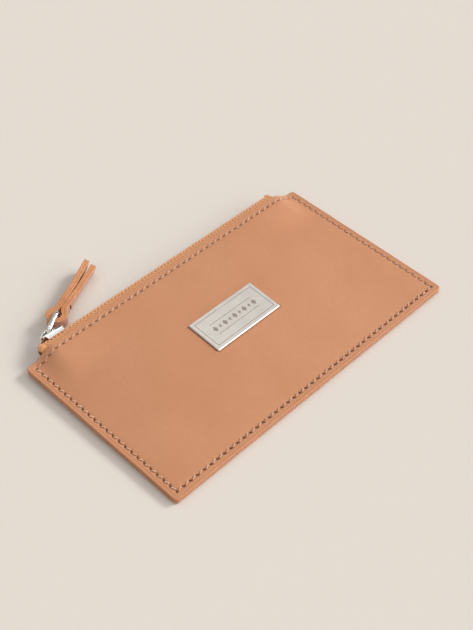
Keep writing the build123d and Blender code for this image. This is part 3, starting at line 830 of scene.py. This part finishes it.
# ---- plate ornament ----
BORDER_INSET = 1.6
RULE_WIDTH = 0.22
RULE_REACH, RULE_SPACING = 10.5, 5.2  # of the two rules inside the border
ORNAMENT_HEIGHT = 0.03
LOZENGE_COUNT, LOZENGE_PITCH = 9, 2.5
LOZENGE_HALVES = (1.0, 0.6)  # half the width of the large and the small ones
LOZENGE_SLENDERNESS = 1.4
# (size, height) of each raised shape's outline: in the plate, at its shoulder and on top
RAISED_LEVELS = ((1.0, -0.05), (1.0, 0.6 * ORNAMENT_HEIGHT), (0.96, ORNAMENT_HEIGHT))


def plate_frame():
    """Middle of the plate's face, its own X, Y and Z directions, and half its size."""
    mesh = frame["nodes"]["name_plate"].data
    upward = [face for face in mesh.polygons if face.normal.z > 0.9]
    z_axis = sum((face.normal * face.area for face in upward), Vector()).normalized()
    y_axis = z_axis.cross(Vector(X_AXIS)).normalized()
    corners = [vertex.co / MM for vertex in mesh.vertices]
    top = max(corner.dot(z_axis) for corner in corners)
    ys = [corner.dot(y_axis) for corner in corners]
    origin = Vector((PLATE_MIDDLE[0], 0, 0)) + y_axis * (min(ys) + max(ys)) / 2 + z_axis * top
    half = (PLATE_HALF[0], (max(ys) - min(ys)) / 2)
    return np.array(origin), np.array(y_axis), np.array(z_axis), half


def raised_shape(outline, place):
    """A flat shape on the plate, a little above its face, with sloping sides."""
    outline = np.asarray(outline, float)
    centre = outline.mean(axis=0)
    layers = [place(centre + (outline - centre) * size, level) for size, level in RAISED_LEVELS]
    return np.concatenate(layers), closed_faces(len(layers), len(outline))


def bar(x0, y0, x1, y1):
    """Corners of an upright rectangle."""
    return [(x0, y0), (x1, y0), (x1, y1), (x0, y1)]


def plate_ornament(name, material):
    """A plain border line and a row of small lozenges between two lines, filled with enamel."""
    origin, y_axis, z_axis, half = plate_frame()

    def place(shape, level):
        return origin + shape[:, :1] * X_AXIS + shape[:, 1:] * y_axis + level * z_axis

    wide, tall = half[0] - BORDER_INSET, half[1] - BORDER_INSET
    inner_wide, inner_tall = wide - RULE_WIDTH, tall - RULE_WIDTH
    shapes = [
        bar(-wide, -tall, wide, -inner_tall),
        bar(-wide, inner_tall, wide, tall),
        bar(-wide, -inner_tall, -inner_wide, inner_tall),
        bar(inner_wide, -inner_tall, wide, inner_tall),
    ]
    for y in (-RULE_SPACING / 2, RULE_SPACING / 2):
        shapes.append(bar(-RULE_REACH, y - RULE_WIDTH / 2, RULE_REACH, y + RULE_WIDTH / 2))
    for index in range(LOZENGE_COUNT):
        x = (index - LOZENGE_COUNT // 2) * LOZENGE_PITCH
        half_x = LOZENGE_HALVES[index % 2]
        half_y = LOZENGE_SLENDERNESS * half_x
        shapes.append([(x - half_x, 0), (x, -half_y), (x + half_x, 0), (x, half_y)])
    points, faces = joined([raised_shape(shape, place) for shape in shapes])
    piece = mesh_piece(name, points, faces, material, "pouch")
    piece.data.shade_flat()


# ---- materials ----
class Graph:
    """The node tree of a material or the world, and short calls that add and join nodes."""

    def __init__(self, owner, shader="Principled BSDF", coordinates="Object"):
        owner.use_nodes = True
        self.owner = owner
        self.tree = owner.node_tree
        self.shader = self.tree.nodes[shader]
        self.place = self.add("TexCoord")[coordinates]

    def add(self, kind, inputs=(), **settings):
        """Outputs of a new node, made with its settings and values or sockets for its inputs."""
        node = self.tree.nodes.new("ShaderNode" + kind)
        for key, value in settings.items():
            setattr(node, key, value)
        for key, value in dict(inputs).items():
            self.connect(node, key, value)
        return node.outputs

    def connect(self, node, key, value):
        """Set one input to another node's socket or a value; colours are made opaque."""
        slot = node.inputs[key]
        if isinstance(value, bpy.types.NodeSocket):
            self.tree.links.new(value, slot)
        else:
            slot.default_value = (*value, 1) if slot.type == "RGBA" else value

    def noise(self, scale, detail, place=None):
        """Soft random values about 0.5, with features about 1/scale metres wide."""
        inputs = {"Vector": place or self.place, "Scale": scale, "Detail": detail}
        return self.add("TexNoise", inputs)[0]

    def drift(self, scale, detail, low, high):
        """Noise that is carried to a range of its own."""
        return self.span(self.noise(scale, detail), 0.3, 0.7, low, high)

    def threads(self, direction, scale, **inputs):
        """Ridges of woven threads that run across a direction."""
        inputs.update(Vector=self.place, Scale=scale)
        return self.add("TexWave", inputs, bands_direction=direction)[1]

    def grain(self, scale, place=None):
        """Relief of the rounded cells of leather's grain, about 1/scale metres wide."""
        inputs = {"Vector": place or self.place, "Scale": scale}
        edge = self.add("TexVoronoi", inputs, feature="DISTANCE_TO_EDGE")["Distance"]
        return self.bump(self.span(edge, 0, 0.25, 0, 1), 0.000012)

    def upward(self):
        """The upward part of the surface's direction."""
        return self.add("SeparateXYZ", {0: self.add("NewGeometry")["Normal"]})[2]

    def mark(self, label):
        """A value stored on the mesh's points."""
        return self.add("Attribute", attribute_name=label)["Fac"]

    def span(self, value, low, high, to_low, to_high):
        """A value carried from one range to another."""
        inputs = {"Value": value, 1: low, 2: high, 3: to_low, 4: to_high}
        return self.add("MapRange", inputs)[0]

    def math(self, operation, first, second):
        """One sum on two values."""
        return self.add("Math", {0: first, 1: second}, operation=operation)[0]

    def mix(self, share, first, second):
        """A colour between two colours."""
        return self.add("Mix", {0: share, 6: first, 7: second}, data_type="RGBA")[2]

    def stretched(self, scale):
        """The piece's own coordinates, scaled along each axis."""
        return self.add("Mapping", {"Vector": self.place, "Scale": scale})[0]

    def bump(self, height, distance, below=None):
        """Relief from a height, laid over another relief."""
        inputs = {"Height": height, "Distance": distance}
        if below is not None:
            inputs["Normal"] = below
        return self.add("Bump", inputs)[0]

    def finish(self, colour, roughness, relief, **others):
        """Fill a material's shader; the others are named with underscores for spaces."""
        inputs = {"Base_Color": colour, "Roughness": roughness, "Normal": relief, **others}
        for key, value in inputs.items():
            self.connect(self.shader, key.replace("_", " "), value)
        return self.owner


def material_graph(name):
    """The graph of a new material."""
    return Graph(bpy.data.materials.new(name))


def leather_material():
    """Smooth calf leather: fine grain, slow colour changes, painted shade in the needle holes, and
    raw edges.
    """
    g = material_graph("leather")
    tone = g.drift(38, 4, 0, 1)
    fleck = g.span(g.noise(700, 3), 0.35, 0.7, 0, 1)
    colour = g.mix(tone, (0.52, 0.224, 0.106), (0.56, 0.252, 0.126))
    colour = g.mix(g.math("MULTIPLY", fleck, 0.22), colour, (0.47, 0.19, 0.086))
    edge_tone = g.mix(g.noise(260, 3), (0.46, 0.18, 0.078), (0.58, 0.26, 0.13))
    colour = g.mix(g.math("MULTIPLY", g.mark("rim"), 0.7), colour, edge_tone)
    # painted shade: the needle holes are coloured near black where the hole mark is high
    colour = g.mix(g.math("MULTIPLY", g.mark("hole"), 0.96), colour, (0.06, 0.018, 0.008))
    warp = g.add("TexNoise", {"Vector": g.place, "Scale": 900.0})[1]
    uneven = {0: warp, 1: (0.0004, 0.0004, 0.0004), 2: g.place}
    place = g.add("VectorMath", uneven, operation="MULTIPLY_ADD")[0]
    fine = g.bump(g.noise(3200, 2), 0.00001, g.grain(1500, place))
    waves = g.bump(g.noise(160, 3), 0.00006, fine)
    rough = g.drift(120, 4, 0.46, 0.56)
    shine = {"Sheen_Weight": 0.12, "Sheen_Roughness": 0.5, "Specular_IOR_Level": 0.42}
    return g.finish(colour, rough, waves, **shine)


def lining_material():
    """Plain woven lining."""
    g = material_graph("lining")
    weave = g.math("MAXIMUM", g.threads("X", 700), g.threads("Y", 700))
    colour = g.mix(weave, (0.2, 0.1, 0.05), (0.36, 0.2, 0.115))
    return g.finish(colour, 0.85, g.bump(weave, 0.00004), Sheen_Weight=0.2)


def tape_material():
    """Woven polyester tape: fine warp threads over the chevrons of the mesh, and painted shade in
    their valleys.
    """
    g = material_graph("zip_tape")
    threads = g.threads("DIAGONAL", 1100, Distortion=1.5, Detail=2.0)
    fuzz = g.noise(2600, 3)
    colour = g.mix(threads, (0.68, 0.29, 0.105), (0.88, 0.42, 0.17))
    colour = g.mix(g.drift(90, 3, 0, 0.4), colour, (0.7, 0.31, 0.115))
    # painted shade in the weave's valleys, along the spine and in the slit
    shade = g.span(g.mark("groove"), 0.25, 1.0, 0, 0.9)
    colour = g.mix(shade, colour, (0.33, 0.1, 0.028))
    relief = g.bump(fuzz, 0.00003, g.bump(threads, 0.00005))
    return g.finish(colour, 0.72, relief, Sheen_Weight=0.3)


def coil_material():
    """Dyed nylon monofilament."""
    g = material_graph("zip_coil")
    streak = g.noise(1.0, 3, g.stretched((500, 2500, 500)))
    colour = g.mix(streak, (0.5, 0.19, 0.065), (0.7, 0.31, 0.12))
    return g.finish(colour, g.drift(900, 3, 0.28, 0.48), g.bump(streak, 0.00002))


def thread_material():
    """Pale twisted polyester thread with fine filaments."""
    g = material_graph("thread")
    filament = g.noise(5200, 3)
    colour = g.mix(filament, (0.55, 0.3, 0.19), (0.8, 0.53, 0.38))
    colour = g.mix(g.span(g.noise(140, 2), 0.4, 0.6, 0, 0.6), colour, (0.56, 0.28, 0.16))
    return g.finish(colour, 0.55, g.bump(filament, 0.00003), Sheen_Weight=0.25)


def satin_material():
    """Satin nickel: fine brushing along X, fading to a polish on the bevel and sides, with a
    painted highlight there.
    """
    g = material_graph("satin_nickel")
    brushing = g.noise(1.0, 3, g.stretched((160, 5200, 5200)))
    flatness = g.span(g.upward(), 0.86, 0.97, 0, 1)
    smudge = g.noise(170, 3)
    satin = g.math("ADD", g.span(brushing, 0.3, 0.7, 0.32, 0.46), g.span(smudge, 0.3, 0.7, 0, 0.06))
    rough = g.math("MULTIPLY", satin, g.span(flatness, 0, 1, 0.35, 1))
    colour = g.mix(smudge, (0.85, 0.795, 0.73), (0.93, 0.875, 0.81))
    # painted highlight: the bevel and sides get a paler colour; their lower roughness above is real
    # polish
    colour = g.mix(g.span(flatness, 0, 1, 1, 0), colour, (0.93, 0.91, 0.88))
    return g.finish(colour, rough, g.bump(brushing, 0.000006), Metallic=1.0)


def chrome_material():
    """Polished nickel plating with faint wear and handling marks."""
    g = material_graph("polished_nickel")
    haze = g.noise(300, 4)
    colour = g.mix(haze, (0.82, 0.81, 0.79), (0.92, 0.91, 0.9))
    rough = g.span(haze, 0.3, 0.7, 0.05, 0.12)
    return g.finish(colour, rough, g.bump(g.noise(260, 2), 0.00002), Metallic=1.0)


def speckled_material(name, scale, detail, dark, light, depth, roughness, **others):
    """A material whose colour and relief follow one fine noise."""
    g = material_graph(name)
    speckle = g.noise(scale, detail)
    return g.finish(g.mix(speckle, dark, light), roughness, g.bump(speckle, depth), **others)


def enamel_material():
    """Dark grey enamel in the plate's ornament."""
    dark, light = (0.22, 0.18, 0.145), (0.33, 0.28, 0.235)
    return speckled_material("enamel", 3000, 2, dark, light, 0.00001, 0.4)


def dark_thread_material():
    """Dark waxed thread."""
    dark, light = (0.1, 0.032, 0.015), (0.24, 0.09, 0.045)
    return speckled_material("strap_thread", 4200, 3, dark, light, 0.00003, 0.5)


def floor_material():
    """A plain pale surface with a very faint tooth."""
    dark, light = (0.69, 0.635, 0.58), (0.702, 0.646, 0.59)
    matt = {"Specular_IOR_Level": 0.1}
    return speckled_material("floor", 900, 3, dark, light, 0.00001, 0.9, **matt)


def strap_material():
    """Leather faces with smooth painted edges along the strap's top and bottom."""
    g = material_graph("strap_leather")
    edge = g.span(g.math("ABSOLUTE", g.upward(), 0.0), 0.35, 0.75, 0, 1)
    tone = g.drift(120, 3, 0, 1)
    face = g.mix(tone, (0.52, 0.25, 0.165), (0.6, 0.32, 0.225))
    paint = g.mix(tone, (0.47, 0.18, 0.062), (0.59, 0.25, 0.095))
    colour = g.mix(edge, face, paint)
    relief = g.bump(g.noise(400, 3), 0.00004, g.grain(1700))
    return g.finish(colour, g.span(edge, 0, 1, 0.55, 0.38), relief, Sheen_Weight=0.08)


leather = leather_material()
lining_cloth = lining_material()
tape_cloth = tape_material()
coil_nylon = coil_material()
pale_thread = thread_material()
satin = satin_material()
chrome = chrome_material()
strap_leather = strap_material()


# ---- build ----
leather_panel("front_leather", front_top, front_under, 1, 0.3, leather)
leather_panel("back_leather", back_under, back_top, -1, 1.9, leather)
lining("front_lining_cloth", front_under, -1, lining_cloth)
lining("back_lining_cloth", back_top, 1, lining_cloth)
seam_thread("front_stitches", front_top, 1, FRONT_SINK, pale_thread, "seam_thread_front")
seam_thread("back_stitches", back_under, -1, BACK_SINK, pale_thread, "seam_thread_back")
zip_tape("front_zip_tape_woven", 1, front_under, tape_cloth)
zip_tape("back_zip_tape_woven", -1, back_top, tape_cloth)
zip_coil("front_zip_coil_wound", 1, coil_nylon)
zip_coil("back_zip_coil_wound", -1, coil_nylon)
strap_ply("strap_outer_ply_folded", STRAP_PLY, strap_leather)
strap_ply("strap_inner_ply_folded", 0.0, strap_leather)
strap_stitch("strap_neck_stitch", dark_thread_material())
plate_ornament("plate_ornament", enamel_material())
# the CAD nodes that stay as they are and only get their finished materials
for node_name, material in {
    "name_plate": satin,
    "plate_backing": satin,
    "slider_body": chrome,
    "slider_bridge": chrome,
    "pull_link": chrome,
    "zip_top_stops": coil_nylon,
    "zip_bottom_stop": coil_nylon,
}.items():
    frame["nodes"][node_name].data.materials[0] = material


# ---- floor, light and camera ----
FLOOR_HALF = 4000.0
HORIZON = (0.12, (0.77, 0.7, 0.635))  # height and colour: as pale as the floor
OVERHEAD = (0.9, (0.66, 0.66, 0.665))
# height and brightness of the walls' dark flags and pale bands
WALL_BANDS = ((0.2, 0.03), (0.3, 0.3), (0.5, 0.42), (0.56, 0.06), (0.64, 0.1), (0.7, 0.65))
# direction, cosine of the half angle and strength of each soft box
SOFT_BOXES = (((0.45, -0.75, 0.45), 0.95, 2.2), ((0.0, 0.5, 0.87), 0.96, 0.5))
SOFT_BOX_EDGE = 0.09
WORLD_STRENGTH = 0.965
CAMERA_TARGET, CAMERA_DISTANCE = Vector((0.0047, 0.0073, 0.0)), 0.4249  # in metres
CAMERA_ANGLES = (-46.39, 46.49, 1.44)  # azimuth, elevation and roll, in degrees
CAMERA_LENS = 63.69


def make_floor():
    """A wide plain surface under the pouch."""
    corners = [(x, y, 0) for x, y in bar(-FLOOR_HALF, -FLOOR_HALF, FLOOR_HALF, FLOOR_HALF)]
    meshed("floor", corners, [(0, 1, 2, 3)], floor_material())


def add_sun(name, toward, strength, softness, colour):
    """A soft distant light that comes from a direction."""
    lamp = bpy.data.lights.new(name, "SUN")
    lamp.energy = strength
    lamp.angle = radians(softness)
    lamp.color = colour
    sun = placed(name, lamp)
    sun.rotation_mode = "QUATERNION"
    sun.rotation_quaternion = Vector(toward).to_track_quat("Z", "Y")


def studio_world():
    """Studio walls: a pale horizon, flags and bands above it, and two soft boxes."""
    g = Graph(bpy.data.worlds.new("studio"), "Background", "Generated")
    height = g.add("SeparateXYZ", {0: g.place})[2]
    light = g.add("ValToRGB", {0: height})["Color"]
    ramp = light.node.color_ramp
    for stop, (position, colour) in zip(ramp.elements, (HORIZON, OVERHEAD)):
        stop.position = position
        stop.color = (*colour, 1)
    for position, grey in WALL_BANDS:
        ramp.elements.new(position).color = (grey, 0.985 * grey, 0.96 * grey, 1)
    for toward, inner, strength in SOFT_BOXES:
        pair = {0: g.place, 1: Vector(toward).normalized()}
        cosine = g.add("VectorMath", pair, operation="DOT_PRODUCT")["Value"]
        limits = {"Value": cosine, 1: inner - SOFT_BOX_EDGE, 2: inner, 4: strength}
        box = g.add("MapRange", limits, interpolation_type="SMOOTHSTEP")[0]
        light = g.add("VectorMath", {0: light, 1: box}, operation="ADD")[0]
    g.connect(g.shader, "Color", light)
    g.connect(g.shader, "Strength", WORLD_STRENGTH)
    bpy.context.scene.world = g.owner


def make_camera():
    """A camera that looks down across the pouch from beyond its corner nearest the slider."""
    azimuth, elevation, roll = (radians(angle) for angle in CAMERA_ANGLES)
    level = cos(elevation)
    back = Vector((sin(azimuth) * level, -cos(azimuth) * level, sin(elevation)))
    lens = bpy.data.cameras.new("camera")
    lens.lens = CAMERA_LENS
    lens.sensor_width = 36.0
    lens.clip_start = 0.01
    lens.clip_end = 20.0
    camera = placed("camera", lens)
    camera.rotation_mode = "QUATERNION"
    camera.location = CAMERA_TARGET + back * CAMERA_DISTANCE
    aim = (-back).to_track_quat("-Z", "Y")
    camera.rotation_quaternion = aim @ Quaternion((0, 0, 1), roll)
    bpy.context.scene.camera = camera


make_floor()
studio_world()
add_sun("key", (0.83, -0.3, 0.56), 2.01, 18, (1.0, 0.98, 0.965))
add_sun("fill", (-0.8, -0.2, 0.8), 0.33, 60, (1.0, 1.0, 1.0))
make_camera()
bpy.context.scene.view_settings.view_transform = "Standard"
